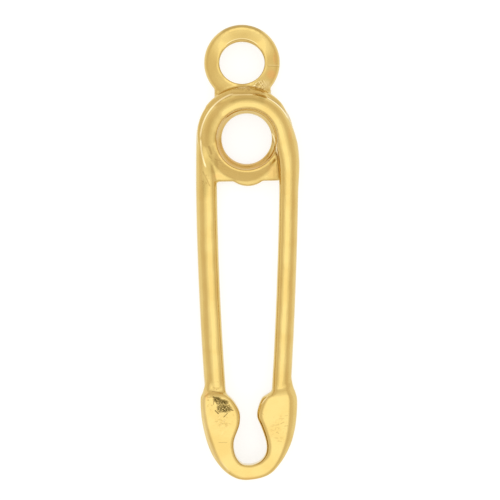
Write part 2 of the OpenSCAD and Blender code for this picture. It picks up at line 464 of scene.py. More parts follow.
def eye():
    """Hanging eye, with a hole a little wider than it is high and a rim that is highest at its top."""
    piece = ring("eye", EYE, **EYE_RING)
    crown_r = (EYE_RING["inner"] + EYE_RING["outer"]) / 2
    middle_z = (EYE_RING["back"] + EYE_RING["front"]) / 2
    inside, outside = crown_r - EYE_CROWN_MARGIN, crown_r + EYE_CROWN_MARGIN
    pick(piece, lambda v: (v.co.xy - EYE.xy).length < inside)
    bpy.ops.transform.resize(
        value=(1, EYE_HOLE_FLATTENING, 1), center_override=(EYE.x, EYE_HOLE_Y, 0))
    for angle in range(RING_STEP_DEGREES, 180, RING_STEP_DEGREES):
        rise = EYE_TOP_RISE * math.sin(math.radians(angle)) ** 2
        for low, high, share in ((inside, outside, EYE_CROWN_SHARE), (outside, math.inf, 1)):
            pick(piece, lambda v: v.co.z > EYE_RIM_Z and low < (v.co.xy - EYE.xy).length < high
                 and abs(bearing(v.co, EYE) - angle) < BEARING_GAP)
            move(FRONT * rise * share)
    pick(piece, lambda v: v.co.z > EYE_SIDE_Z)
    rotate(math.radians(EYE_TILT), (EYE.x, EYE.y + EYE_TILT_REACH, middle_z))
    leave()
    return piece


def block(name, low, high, corner, turn=0):
    """A rounded block between two corners, turned about its own middle."""
    deselect()
    low, high = Vector(low), Vector(high)
    place = (low + high) / 2
    bpy.ops.mesh.primitive_cube_add(size=1, location=place, rotation=(0, 0, math.radians(turn)))
    bpy.context.object.scale = high - low
    piece = begin(name)
    bpy.ops.mesh.bevel(offset=corner, segments=BLOCK_CORNER_STEPS, affect="EDGES")
    mend()
    leave()
    return piece


def coil_metal():
    """Metal inside the coil, its raised part under the front turn and the cheek at its left."""
    core = ring("core", COIL, **CORE_RING)
    pick(core, lambda v: v.co.z > (WEB_BACK_Z + CORE_FRONT_Z) / 2)
    rotate(math.radians(LEDGE_TILT), COIL + FRONT * CORE_FRONT_Z)
    leave()
    ridge = ring("ridge", COIL, **RIDGE_RING)
    leave()
    cheek = ring("cheek", COIL, **CHEEK_RING)
    end = CHEEK_RING["first"] + CHEEK_RING["turn"]
    for step in range(1, CHEEK_FADE_STEPS + 1):
        angle = end - RING_STEP_DEGREES * (CHEEK_FADE_STEPS - step)
        pick_bearing(cheek, COIL, angle, above=RING_FRONT_Z)
        move(FRONT * CHEEK_FADE * -(step / CHEEK_FADE_STEPS) ** 2)
    leave()
    return [core, ridge, cheek]


def webs():
    """Flat metal in the corners of the coil and the legs, with the round lip between them."""
    lip = ring("lip", LIP, **LIP_RING)
    leave()
    web = block("web", WEB_LOW, WEB_HIGH, WEB_CORNER, turn=WEB_TURN)
    for plate in (lip, web):
        edit(plate)
        pick(plate, lambda v: v.co.z > (WEB_BACK_Z + WEB_FRONT_Z) / 2)
        rotate(-math.radians(WEB_TILT), WEB_PIVOT, "Y")
        rotate(math.radians(WEB_SLOPE), WEB_PIVOT)
        leave()
    return [lip, web]


def back_band():
    """Outer edge of the back turn, its shoulder under the eye, and the neck that joins them."""
    band = ring("band", BAND, **BAND_RING)
    for step in range(BAND_END_STEPS):
        angle = BAND_RING["first"] + RING_STEP_DEGREES * step
        inwards = Vector((-math.cos(math.radians(angle)), -math.sin(math.radians(angle)), 0))
        pick_bearing(band, BAND, angle)
        move(inwards * BAND_END_INSET * (1 - step / BAND_END_STEPS))
    tip(BAND_TILT, BAND + FRONT * BAND_RING["front"])
    leave()
    shoulder = ring("shoulder", SHOULDER, **SHOULDER_RING)
    steps = round(SHOULDER_RING["turn"] / RING_STEP_DEGREES)
    for step in range(steps + 1):
        angle = SHOULDER_RING["first"] + SHOULDER_RING["turn"] * step / steps
        fall = SHOULDER_FADE * (1 - math.sin(math.pi * step / steps)) ** 2
        pick_bearing(shoulder, SHOULDER, angle, above=RING_FRONT_Z)
        move(FRONT * -fall)
    leave()
    neck = block("neck", NECK_LOW, NECK_HIGH, NECK_CORNER)
    return [band, shoulder, neck]


def cutter(name, outline, shift=Vector(), tilt=0):
    """A turned cutter for the hole of the coil, standing on the coil's middle or beside it."""
    place = COIL + shift
    low_r, low_z = outline[0]
    deselect()
    bpy.ops.mesh.primitive_circle_add(
        vertices=CUTTER_SIDES, radius=low_r, location=place + FRONT * low_z)
    tool = begin(name)
    bpy.ops.mesh.edge_face_add()
    for (last_r, last_z), (next_r, next_z) in zip(outline, outline[1:]):
        bpy.ops.mesh.extrude_region_move(TRANSFORM_OT_translate={"value": FRONT * (next_z - last_z)})
        ratio = next_r / last_r
        bpy.ops.transform.resize(value=(ratio, ratio, 1), center_override=place + FRONT * next_z)
    mend()
    tip(tilt, place + FRONT * CORE_FRONT_Z)
    leave()
    return tool


def clean_hole(body):
    """Cuts the hole of the coil clean, deeper towards the legs."""
    for tool in (
            cutter("hole", HOLE_OUTLINE, shift=HOLE_SHIFT),
            cutter("ledge", LEDGE_OUTLINE, tilt=LEDGE_TILT),
            cutter("sink", SINK_OUTLINE, shift=SINK_SHIFT)):
        apply_modifier(body, "BOOLEAN", operation="DIFFERENCE", object=tool)
        deselect()
        tool.select_set(True)
        bpy.ops.object.delete()


def between(rows, i, t):
    """Smooth curve through the rows, at the share t of the way from row i to the next."""
    a, b, c, d = (rows[min(max(k, 0), len(rows) - 1)] for k in (i - 1, i, i + 1, i + 2))
    return [
        0.5 * (2 * q + (r - p) * t + (2 * p - 5 * q + 4 * r - s) * t * t
               + (3 * q - 3 * r + s - p) * t ** 3)
        for p, q, r, s in zip(a, b, c, d)]


def strap(lines):
    """Flat strap of even thickness, carried from its first line across through all the others."""
    outer, inner = lines[0]
    across = inner - outer
    angle = math.atan2(across.y, across.x)
    here = (outer + inner) / 2
    deselect()
    bpy.ops.mesh.primitive_plane_add(size=across.length, location=here, rotation=(0, 0, angle))
    piece = begin("clasp")
    down = Vector((across.y, -across.x, 0)).normalized()
    pick(piece, lambda v: (v.co - here).dot(down) < 0)
    bpy.ops.mesh.delete(type="VERT")
    select_all()
    move(-down * across.length / 2)
    width = across.length
    for outer, inner in lines[1:]:
        there = (outer + inner) / 2
        across = inner - outer
        turn = math.atan2(across.y, across.x) - angle
        bpy.ops.mesh.extrude_region_move(TRANSFORM_OT_translate={"value": there - here})
        rotate(turn, there, "Z")
        ratio = across.length / width
        bpy.ops.transform.resize(value=(ratio, ratio, 1), center_override=there)
        here, angle, width = there, angle + turn, across.length
    select_all()
    bpy.ops.mesh.extrude_region_move(TRANSFORM_OT_translate={"value": FRONT * CLASP_FRONT_Z})
    mend()
    return piece


def clasp():
    """Strap bent into a U with a lobe at each end, its front edges bevelled."""
    rows = [between(CLASP_ROWS, i, k / CLASP_STEPS)
            for i in range(len(CLASP_ROWS) - 1) for k in range(CLASP_STEPS)]
    rows.append(list(CLASP_ROWS[-1]))
    lines = [(Vector((r[0], r[1], 0)), Vector((r[2], r[3], 0))) for r in rows]
    piece = strap(lines)
    for row, ends in zip(rows, lines):
        fall = CLASP_FRONT_Z - row[HEIGHT]
        if abs(fall) > CLASP_LEAST_FALL:
            for on_front, share in ((True, -1), (False, CLASP_BACK_SHARE)):
                pick(piece, lambda v: (v.co.z > CLASP_FRONT_Z / 2) == on_front
                     and min((v.co.xy - end.xy).length for end in ends) < NEAR)
                move(FRONT * fall * share)
    leave()
    widest = max(max(row[OUTER_BEVEL], row[INNER_BEVEL]) for row in rows)
    weights = piece.data.attributes.new("bevel_weight_edge", "FLOAT", "EDGE")
    for edge in piece.data.edges:
        ends = [piece.data.vertices[i].co for i in edge.vertices]
        weights.data[edge.index].value = clasp_bevel(rows, ends) / widest
    apply_modifier(
        piece, "BEVEL", limit_method="WEIGHT", width=widest, segments=CLASP_BEVEL_STEPS,
        profile=CLASP_BEVEL_PROFILE, use_clamp_overlap=False)
    return piece


def clasp_bevel(rows, ends):
    """Width of the bevel on an edge of the strap's outline, or nothing on its other edges."""
    near = []
    for end in ends:
        found = min(
            ((end.xy - Vector(row[k:k + 2])).length, i, k)
            for i, row in enumerate(rows) for k in (0, 2))
        near.append(found[1:])
    (row_a, side_a), (row_b, side_b) = near
    on_front = [end.z > CLASP_FRONT_Z / 2 for end in ends]
    if on_front[0] != on_front[1]:
        return 0
    at_end = row_a == row_b and row_a in (0, len(rows) - 1)
    if side_a != side_b and not at_end:
        return 0
    if not on_front[0]:
        return CLASP_BACK_BEVEL
    if at_end:
        return CLASP_END_BEVEL
    column = OUTER_BEVEL if side_a == 0 else INNER_BEVEL
    return (rows[row_a][column] + rows[row_b][column]) / 2


def casting():
    """All the metal fused into one body with soft corners, as it comes from the mould."""
    parts = [left_wire(), right_wire(), eye(), clasp()] + coil_metal() + webs() + back_band()
    deselect()
    for part in parts:
        part.select_set(True)
    body = parts[0]
    bpy.context.view_layer.objects.active = body
    bpy.ops.object.join()
    body.name = "gold_charm"
    apply_modifier(body, "REMESH", mode="VOXEL", voxel_size=VOXEL)
    clean_hole(body)
    apply_modifier(body, "REMESH", mode="VOXEL", voxel_size=VOXEL)
    apply_modifier(body, "SMOOTH", factor=SOFTENING, iterations=SOFTENING_ROUNDS)
    edit(body)
    select_all()
    bpy.ops.transform.resize(value=(MM,) * 3, center_override=(0, 0, 0))
    leave()
    bpy.ops.object.shade_smooth()
    return body


# Colour of the room by the sine of the angle from straight overhead, and its stretch front to back
ROOM = [
    (0.00, (0.93, 0.93, 0.92)),
    (0.36, (0.93, 0.93, 0.92)),
    (0.50, (0.89, 0.88, 0.86)),
    (0.63, (0.79, 0.76, 0.71)),
    (0.76, (0.66, 0.61, 0.54)),
    (0.90, (0.65, 0.58, 0.50)),
    (1.00, (0.72, 0.68, 0.64)),
]
ROOM_BRIGHTNESS = 1.4
ROOM_STRETCH = 0.92
# Table: side in metres, grey, dullness and the light that it gives of its own
TABLE_SIZE = 1.2
TABLE_GREY = (0.35, 0.35, 0.35, 1)
TABLE_ROUGHNESS = 0.9
TABLE_GLOW = 0.74
# Soft box straight overhead: height and side in metres, power in watts
SOFTBOX_HEIGHT = 0.4
SOFTBOX_SIDE = 0.28
SOFTBOX_WATTS = 0.05

# The photograph's frame: the size of one of its pixels on the charm, the height at which a pixel has
# that size, and the charm's middle in the picture
PIXEL = 0.0549 * MM
PIXEL_HEIGHT = MM
PICTURE = 500
MIDDLE_PIXEL = (247.6, 251.95)
# Camera: focal length and sensor width in millimetres, nearest and farthest view in metres
LENS = 200
SENSOR = 36
NEAREST_VIEW = 0.005
FARTHEST_VIEW = 5


def camera():
    """Looks straight down from above, as the photograph does, with a long lens."""
    data = bpy.data.cameras.new("camera")
    data.lens = LENS
    data.sensor_width = SENSOR
    data.clip_start = NEAREST_VIEW
    data.clip_end = FARTHEST_VIEW
    viewer = bpy.data.objects.new("camera", data)
    bpy.context.scene.collection.objects.link(viewer)
    half = PICTURE / 2
    x = (half - MIDDLE_PIXEL[0]) * PIXEL
    y = (MIDDLE_PIXEL[1] - half) * PIXEL
    viewer.location = (x, y, PICTURE * PIXEL * LENS / SENSOR + PIXEL_HEIGHT)
    bpy.context.scene.camera = viewer


def table():
    """Pale table that gives light of its own, which washes out the charm's shadow."""
    deselect()
    bpy.ops.mesh.primitive_plane_add(size=TABLE_SIZE, location=(0, 0, 0))
    floor = bpy.context.object
    floor.name = "floor"
    material = bpy.data.materials.new("lit_table")
    material.use_nodes = True
    shader = material.node_tree.nodes["Principled BSDF"]
    shader.inputs["Base Color"].default_value = TABLE_GREY
    shader.inputs["Roughness"].default_value = TABLE_ROUGHNESS
    shader.inputs["Specular IOR Level"].default_value = 0
    shader.inputs["Emission Color"].default_value = (1, 1, 1, 1)
    shader.inputs["Emission Strength"].default_value = TABLE_GLOW
    floor.data.materials.append(material)


def room():
    """Room that is brightest overhead and darker and warmer low down."""
    world = bpy.data.worlds.new("room")
    bpy.context.scene.world = world
    world.use_nodes = True
    tree = world.node_tree
    place = node(tree, "TexCoord").outputs["Generated"]
    flat = node(tree, "Mapping", {"Vector": place, "Scale": (1, ROOM_STRETCH, 0)}).outputs["Vector"]
    ramp = node(tree, "ValToRGB", {"Fac": vectors(tree, "LENGTH", flat)})
    ramp.color_ramp.interpolation = "B_SPLINE"
    stops = ramp.color_ramp.elements
    while len(stops) < len(ROOM):
        stops.new(0.5)
    for stop, (sine, colour) in zip(stops, ROOM):
        stop.position = sine
        stop.color = tuple(colour) + (1,)
    background = tree.nodes["Background"]
    tree.links.new(ramp.outputs["Color"], background.inputs["Color"])
    background.inputs["Strength"].default_value = ROOM_BRIGHTNESS


def softbox():
    """Square soft light that shines straight down at the charm."""
    data = bpy.data.lights.new("softbox", "AREA")
    data.shape = "SQUARE"
    data.size = SOFTBOX_SIDE
    data.energy = SOFTBOX_WATTS
    lamp = bpy.data.objects.new("softbox", data)
    bpy.context.scene.collection.objects.link(lamp)
    lamp.location = (0, 0, SOFTBOX_HEIGHT)


def studio():
    """Lit table, the room round it and the soft box."""
    table()
    room()
    softbox()
    bpy.context.scene.view_settings.view_transform = "Standard"


# Gold where it is clean, the deeper gold it is mottled with, and the reddish gold of painted reflections
# of gold in gold
GOLD = (0.706, 0.526, 0.190, 1)
DEEP_GOLD = (0.672, 0.482, 0.160, 1)
WARM_REFLECTION_GOLD = (0.78, 0.44, 0.15, 1)
# Gold with painted shade for deep places, gold with a painted pale reflection for steep sides, and orange
# gold with painted shade and reflection for the wall of the coil's hole
SHADED_GOLD = (0.55, 0.40, 0.13, 1)
STEEP_REFLECTION_GOLD = (0.80, 0.68, 0.35, 1)
ORANGE_SHADE_GOLD = (0.60, 0.35, 0.08, 1)
# Painted highlights, painted shade in creases together with dark scratches, pits and file marks, and the
# tarnish of the unpolished spot
HIGHLIGHT_GOLD = (1.0, 0.86, 0.5, 1)
SHADE_AND_MARK_BROWN = (0.36, 0.22, 0.06, 1)
TARNISH = (0.10, 0.068, 0.012, 1)
# Marks and painted light and shade, in the order laid over the gold: name, share of the colour, colour
LAYERS = [
    ("steep_reflection", 0.4, STEEP_REFLECTION_GOLD),
    ("warm_reflection", 0.7, WARM_REFLECTION_GOLD),
    ("shaded", 1, SHADED_GOLD),
    ("wall", 1, ORANGE_SHADE_GOLD),
    ("filed", 0.5, SHADE_AND_MARK_BROWN),
    ("crease_shade_and_marks", 1, SHADE_AND_MARK_BROWN),
    ("highlight", 1, HIGHLIGHT_GOLD),
    ("spot", 1, TARNISH),
]
PIT_SHARE = 0.45
# Upward part of the direction that a side faces, as it begins to be steep and where it is, and
# the distances from the middle of the coil over which steep sides get a painted pale reflection
STEEP_FACING = (0.62, 0.2)
STEEP_DISTANCE = (1.8, 2.0)
# Heights between which the marks of the front fade in
FRONT_HEIGHT = (0.3, 0.5)

# Unevenness of the metal. Columns: grains to a millimetre, detail.
MOTTLE = (0.8, 4)
WAVES = (0.7, 1)
PEEL = (7, 2)
# Levels of that unevenness between which the gold turns deep, grows rougher and is pitted
DEEP_MOTTLE = (0.35, 0.7)
ROUGH_MOTTLE = (0.3, 0.7)
PIT_PEEL = (0.53, 0.63)

# Roughness of the polish, its gain by the mottling, and its gain where the gold is marked
ROUGHNESS = 0.13
MOTTLE_ROUGHNESS = 0.06
ROUGHENING = {"dull": 0.22, "spot": 0.4, "filed": 0.15}
# Relief in millimetres of the waves and the peel of the surface, and of its marks
WAVE_RELIEF = 0.06
PEEL_RELIEF = 0.002
MARK_RELIEF = {"filed": -0.004, "crease_shade_and_marks": -0.008, "spot": -0.03}

# Fine lines: hatching of the spot, file marks and painted glints. Columns: bearing in degrees, density
# along x, y and z, level of the noise below which the gold stays clean, strength.
SPOT_LINES = (25, (14, 22, 1), 0.42, 1)
FILE_LINES = (-45, (3, 12, 1), 0.47, 1)
GLINT_LINES = (-50, (5, 11, 9), 0.53, 0.7)
# Scale and detail of their noise, and the softness of their edges
LINE_NOISE = (1, 2)
LINE_EDGE = 0.12
# Shares of the width of an arc or scratch, of the length of an arc and of the size of a patch that
# are at full strength
MARK_CORE = 0.2
ARC_CORE = 0.75
PATCH_CORE = 0.3

# Marks, painted shade and painted highlights on the front of the casting, in millimetres. All arcs have
# the same columns: centre x and y, radius, half width, bearing of each end in degrees, strength.
# Painted highlights along edges and creases
HIGHLIGHT_ARCS = [
    (COIL_X, COIL_Y, 2.56, 0.065, 105, 182, 1.0),
    (1.365, 6.125, 3.94, 0.065, 178, 203, 0.9),
    (COIL_X, COIL_Y, 2.48, 0.045, 24, 66, 0.9),
    (-1.29, 5.30, 2.90, 0.045, -1, 26, 0.9),
    (EYE_X, EYE_HOLE_Y, 1.31, 0.035, 45, 135, 0.6),
]
# Thin lines of painted shade along creases and edges
CREASE_SHADE_ARCS = [
    (COIL_X, COIL_Y, 2.56, 0.05, 22, 62, 0.35),
    (-1.29, 5.30, 2.81, 0.05, -1, 26, 0.4),
    (EYE_X, EYE_HOLE_Y, 1.25, 0.04, 45, 135, 0.5),
    (EYE_X, EYE_Y, 2.02, 0.14, 55, 125, 0.35),
]
# Broad bands of painted shade round the eye and the coil
SHADED_ARCS = [
    (EYE_X, EYE_Y, 2.00, 0.16, 50, 130, 0.8),
    (EYE_X, EYE_HOLE_Y, 1.29, 0.09, -75, 45, 0.8),
    (EYE_X, EYE_HOLE_Y, 1.29, 0.08, 135, 225, 0.7),
    (COIL_X, COIL_Y, 1.78, 0.15, 165, 213, 0.7),
    (COIL_X, COIL_Y, 1.78, 0.12, 292, 338, 0.6),
    (COIL_X, COIL_Y, 2.14, 0.16, 60, 118, 0.8),
    (COIL_X, COIL_Y, 2.06, 0.34, 148, 205, 0.35),
]
# Painted shade and reflection of gold in gold on the wall of the hole of the coil
HOLE_WALL_SHADE_ARCS = [
    (COIL_X, COIL_Y, 1.48, 0.42, 165, 340, 0.65),
    (COIL_X, COIL_Y, 1.60, 0.11, 170, 345, 0.75),
    (COIL_X, COIL_Y, 1.55, 0.30, 115, 200, 0.35),
]
# Straight marks all have these columns: x and y of each end, half width, strength.
# Painted shade in the crease between the web and the right leg
CREASE_SHADE_STROKES = [
    (1.63, 5.22, 1.63, 4.22, 0.14, 0.2),
]
# Painted highlights on scratches, on the clasp's edges and along the crease under the eye, and painted
# glints beside the eye
HIGHLIGHT_STROKES = [
    (-0.86, 8.58, 0.44, 8.60, 0.04, 0.6),
    (1.09, -7.93, 0.70, -8.38, 0.04, 0.8),
    (0.70, -8.38, 0.62, -8.79, 0.04, 0.8),
    (0.62, -8.79, 0.66, -9.28, 0.035, 0.6),
    (0.24, 9.08, 0.41, 9.14, 0.035, 0.9),
    (0.90, 8.92, 1.01, 8.78, 0.045, 0.8),
    (-0.09, 8.97, 0.13, 9.03, 0.03, 0.6),
    (0.49, 9.06, 0.57, 8.97, 0.035, 0.8),
    (1.14, 10.25, 1.72, 10.25, 0.03, 0.3),
    (-2.40, -8.00, -2.38, -9.20, 0.15, 0.25),
    (-2.38, -9.20, -2.16, -10.30, 0.16, 0.28),
    (-2.16, -10.30, -1.74, -11.22, 0.15, 0.28),
    (-1.74, -11.22, -1.06, -12.00, 0.12, 0.25),
    (0.60, 9.36, 0.82, 9.06, 0.035, 0.5),
    (0.74, 9.38, 0.93, 9.08, 0.03, 0.5),
    (0.87, 9.41, 1.04, 9.17, 0.035, 0.5),
]
# Painted shade in creases, and dark scratches, round the eye, the coil and the tops of the legs, then
# dark marks on the lower end of the left leg and scratches on the lobes
SHADE_AND_SCRATCH_STROKES = [
    (1.48, 5.00, 1.50, 4.10, 0.17, 0.34),
    (-0.90, 8.69, 0.90, 8.68, 0.05, 0.4),
    (0.57, 8.89, 0.79, 8.78, 0.04, 0.6),
    (0.30, 9.00, 0.52, 8.89, 0.04, 0.5),
    (0.79, 8.78, 0.96, 8.67, 0.04, 0.4),
    (1.12, 10.20, 1.72, 10.20, 0.03, 0.35),
    (0.67, 9.38, 0.87, 9.07, 0.03, 0.3),
    (0.81, 9.40, 0.98, 9.11, 0.03, 0.3),
    (1.50, 10.80, 1.53, 10.40, 0.03, 0.2),
    (-2.45, 4.39, -2.23, 3.95, 0.06, 0.4),
    (-2.23, 3.95, -2.06, 3.62, 0.05, 0.5),
    (-2.13, 5.75, -2.00, 5.40, 0.10, 0.45),
    (-2.12, 5.25, -2.00, 5.12, 0.05, 0.3),
    (-1.79, 5.08, -1.57, 5.02, 0.05, 0.35),
    (-1.98, 4.99, -1.90, 4.39, 0.10, 0.2),
    (-1.92, -7.64, -1.40, -7.71, 0.045, 0.5),
    (-1.88, -7.44, -1.64, -7.49, 0.09, 0.35),
    (-1.66, -7.10, -1.60, -7.14, 0.05, 0.2),
    (-1.79, -9.30, -1.63, -9.28, 0.03, 0.32),
    (-1.57, -9.47, -1.41, -9.39, 0.03, 0.32),
    (-1.13, -9.36, -0.91, -9.42, 0.03, 0.32),
    (-1.52, -9.14, -1.38, -9.25, 0.03, 0.32),
    (-1.57, -10.43, -1.13, -10.43, 0.03, 0.4),
    (-0.80, -8.87, -0.75, -8.95, 0.03, 0.3),
    (1.71, -9.14, 2.00, -9.12, 0.03, 0.32),
    (1.81, -9.41, 2.00, -9.31, 0.035, 0.4),
    (1.54, -9.48, 1.71, -9.46, 0.035, 0.32),
    (2.02, -9.53, 2.21, -9.52, 0.03, 0.4),
    (1.58, -9.87, 1.71, -9.93, 0.035, 0.4),
    (1.50, -10.18, 1.67, -10.19, 0.03, 0.4),
    (1.64, -10.36, 1.85, -10.37, 0.03, 0.32),
    (1.26, -9.72, 1.47, -9.78, 0.03, 0.24),
    (2.05, -8.97, 2.19, -8.95, 0.03, 0.32),
    (0.77, -8.84, 0.87, -8.90, 0.03, 0.3),
]
# Scratches along the edges of the spot on the left lobe that was left unpolished
SPOT_STROKES = [
    (-1.87, -7.93, -1.12, -8.22, 0.06, 0.8),
    (-1.82, -7.98, -1.66, -8.32, 0.045, 0.7),
    (-1.87, -8.07, -1.86, -8.34, 0.03, 0.35),
    (-1.30, -8.44, -0.98, -8.38, 0.04, 0.6),
    (-1.06, -8.58, -0.80, -8.67, 0.035, 0.7),
    (-1.77, -8.68, -1.60, -8.85, 0.035, 0.7),
    (-1.30, -9.04, -1.11, -8.84, 0.025, 0.6),
]
# Soft patches all have these columns: x and y of the middle, half width, half height, strength.
# The unpolished spot
SPOT_PATCHES = [
    (-1.66, -8.07, 0.30, 0.22, 1.0),
    (-1.36, -8.24, 0.42, 0.24, 1.0),
    (-1.24, -8.58, 0.50, 0.28, 1.0),
    (-1.52, -8.55, 0.22, 0.34, 0.9),
    (-1.36, -8.42, 0.34, 0.16, 0.8),
]
# Painted shade on places that lie deep
SHADED_PATCHES = [
    (-2.12, 4.80, 0.34, 1.0, 0.9),
    (-1.80, 4.70, 0.28, 0.65, 0.7),
    (-2.31, 3.55, 0.24, 0.85, 0.9),
    (1.30, 4.30, 0.42, 0.50, 0.45),
    (-1.24, 4.11, 0.34, 0.26, 0.2),
    (0.79, 8.46, 0.30, 0.26, 1.0),
    (-1.10, 8.47, 0.36, 0.24, 0.6),
    (-0.05, 8.45, 1.0, 0.24, 0.25),
]
# Reddish places, painted as reflections of gold in gold
WARM_REFLECTION_PATCHES = [
    (1.30, 9.76, 0.36, 0.36, 1.0),
    (1.53, 10.65, 0.14, 0.6, 0.4),
    (-1.60, 4.17, 0.34, 0.14, 0.7),
    (1.34, 4.40, 0.36, 0.5, 0.6),
    (-0.95, 4.98, 0.34, 0.26, 0.6),
    (0.45, 4.66, 0.34, 0.14, 0.6),
    (1.46, 10.62, 0.08, 0.34, 0.8),
    (2.33, 6.48, 0.16, 0.6, 0.4),
    (-2.25, -7.85, 0.16, 0.36, 0.6),
    (-1.50, 5.60, 0.24, 0.60, 0.5),
    (0.20, -12.40, 0.9, 0.16, 0.4),
]
# Painted highlights between the eye and the coil
HIGHLIGHT_PATCHES = [
    (1.05, 9.20, 0.30, 0.34, 0.28),
    (0.20, 9.00, 0.9, 0.14, 0.25),
]
# Places that the polish left dull
DULL_PATCHES = [
    (-2.30, 4.40, 0.40, 1.2, 1.0),
    (-2.42, 3.87, 0.15, 0.3, 0.6),
    (0.0, 8.85, 1.2, 0.22, 0.4),
]
# Places where the marks of a file show
FILED_PATCHES = [
    (0.66, 9.16, 0.56, 0.36, 1.0),
    (-1.40, -9.40, 0.5, 0.9, 0.15),
]
# Places with pits
PITTED_PATCHES = [
    (-2.00, -8.20, 0.50, 0.65, 1.0),
    (-1.30, -9.25, 0.65, 0.50, 0.8),
    (1.70, -9.60, 0.65, 1.2, 0.5),
    (0.30, 8.95, 1.1, 0.26, 1.0),
    (-2.30, 3.95, 0.34, 0.5, 1.0),
    (-1.50, 4.85, 0.45, 0.3, 0.6),
    (-1.75, -7.48, 0.35, 0.24, 1.0),
    (1.15, 5.00, 0.45, 0.40, 0.8),
]


def node(tree, kind, inputs=(), **settings):
    """Adds a node to a shader tree. Each input is given a plain value, or the socket that feeds it."""
    made = tree.nodes.new("ShaderNode" + kind)
    for name, value in settings.items():
        setattr(made, name, value)
    for key, value in dict(inputs).items():
        if isinstance(value, bpy.types.NodeSocket):
            tree.links.new(value, made.inputs[key])
        else:
            made.inputs[key].default_value = value
    return made


def work_out(tree, operation, *values):
    return node(tree, "Math", enumerate(values), operation=operation).outputs[0]


def vectors(tree, operation, *values):
    made = node(tree, "VectorMath", enumerate(values), operation=operation)
    single = operation in ("LENGTH", "DOT_PRODUCT")
    return made.outputs["Value" if single else "Vector"]


def scaled(tree, vector, factor):
    return node(tree, "VectorMath", {0: vector, "Scale": factor}, operation="SCALE").outputs["Vector"]


def noise(tree, place, scale, detail):
    made = node(tree, "TexNoise", {"Vector": place, "Scale": scale, "Detail": detail})
    return made.outputs["Fac"]


def fade(tree, value, start, end, low=0, high=1):
    """Eases from low to high while the value goes from start to end."""
    made = node(tree, "MapRange", {
        "Value": value, "From Min": start, "From Max": end, "To Min": low, "To Max": high},
        interpolation_type="SMOOTHSTEP")
    return made.outputs["Result"]


def fade_out(tree, value, start):
    """Eases from 1 to 0 while the value goes from start to 1."""
    return fade(tree, value, start, 1, 1, 0)


def tint(tree, share, first, second):
    """Mixes two colours by the share of the second."""
    made = node(tree, "Mix", {0: share, 6: first, 7: second}, data_type="RGBA")
    return made.outputs[2]


def times(tree, first, second):
    """Product of two masks, or of a mask and a number."""
    return work_out(tree, "MULTIPLY", first, second)


def strongest(tree, *masks):
    """Mask that is as strong as the strongest of others."""
    most = masks[0]
    for mask in masks[1:]:
        most = work_out(tree, "MAXIMUM", most, mask)
    return most


def group(name, inputs):
    """Starts a node group that works out a mask from named inputs."""
    tree = bpy.data.node_groups.new(name, "ShaderNodeTree")
    for label, kind in inputs.items():
        tree.interface.new_socket(name=label, in_out="INPUT", socket_type="NodeSocket" + kind)
    tree.interface.new_socket(name="Mask", in_out="OUTPUT", socket_type="NodeSocketFloat")
    return tree, tree.nodes.new("NodeGroupInput").outputs, tree.nodes.new("NodeGroupOutput").inputs


def arc_group():
    """A thin line along an arc that fades out at its ends."""
    tree, given, out = group("arc_mark", {
        "Place": "Vector", "Centre": "Vector", "Towards": "Vector",
        "Radius": "Float", "Width": "Float", "Reach": "Float"})
    offset = vectors(tree, "SUBTRACT", given["Place"], given["Centre"])
    gap = work_out(tree, "SUBTRACT", vectors(tree, "LENGTH", offset), given["Radius"])
    share = work_out(tree, "DIVIDE", work_out(tree, "ABSOLUTE", gap), given["Width"])
    facing = vectors(tree, "DOT_PRODUCT", vectors(tree, "NORMALIZE", offset), given["Towards"])
    turned = work_out(tree, "DIVIDE", work_out(tree, "ARCCOSINE", facing), given["Reach"])
    line = times(tree, fade_out(tree, share, MARK_CORE), fade_out(tree, turned, ARC_CORE))
    tree.links.new(line, out["Mask"])
    return tree


def stroke_group():
    """A straight scratch between two points."""
    tree, given, out = group("stroke_mark", {
        "Place": "Vector", "From": "Vector", "To": "Vector", "Width": "Float"})
    path = vectors(tree, "SUBTRACT", given["To"], given["From"])
    offset = vectors(tree, "SUBTRACT", given["Place"], given["From"])
    reach = vectors(tree, "DOT_PRODUCT", path, path)
    along = work_out(tree, "DIVIDE", vectors(tree, "DOT_PRODUCT", offset, path), reach)
    foot = scaled(tree, path, node(tree, "Clamp", {"Value": along}).outputs["Result"])
    gap = vectors(tree, "LENGTH", vectors(tree, "SUBTRACT", offset, foot))
    share = work_out(tree, "DIVIDE", gap, given["Width"])
    tree.links.new(fade_out(tree, share, MARK_CORE), out["Mask"])
    return tree


def patch_group():
    """A soft oval patch."""
    tree, given, out = group("patch_mark", {"Place": "Vector", "Centre": "Vector", "Size": "Vector"})
    offset = vectors(tree, "SUBTRACT", given["Place"], given["Centre"])
    share = vectors(tree, "LENGTH", vectors(tree, "DIVIDE", offset, given["Size"]))
    tree.links.new(fade_out(tree, share, PATCH_CORE), out["Mask"])
    return tree


def lines_group():
    """Fine parallel lines, as a file or a cloth leaves them or as painted glints, at a bearing and of a
    length and breadth.
    """
    tree, given, out = group("fine_lines", {
        "Place": "Vector", "Turn": "Vector", "Density": "Vector", "Clean": "Float"})
    turned = node(tree, "Mapping", {"Vector": given["Place"], "Rotation": given["Turn"]})
    laid = vectors(tree, "MULTIPLY", turned.outputs["Vector"], given["Density"])
    uneven = noise(tree, laid, *LINE_NOISE)
    full = work_out(tree, "ADD", given["Clean"], LINE_EDGE)
    tree.links.new(fade(tree, uneven, given["Clean"], full), out["Mask"])
    return tree


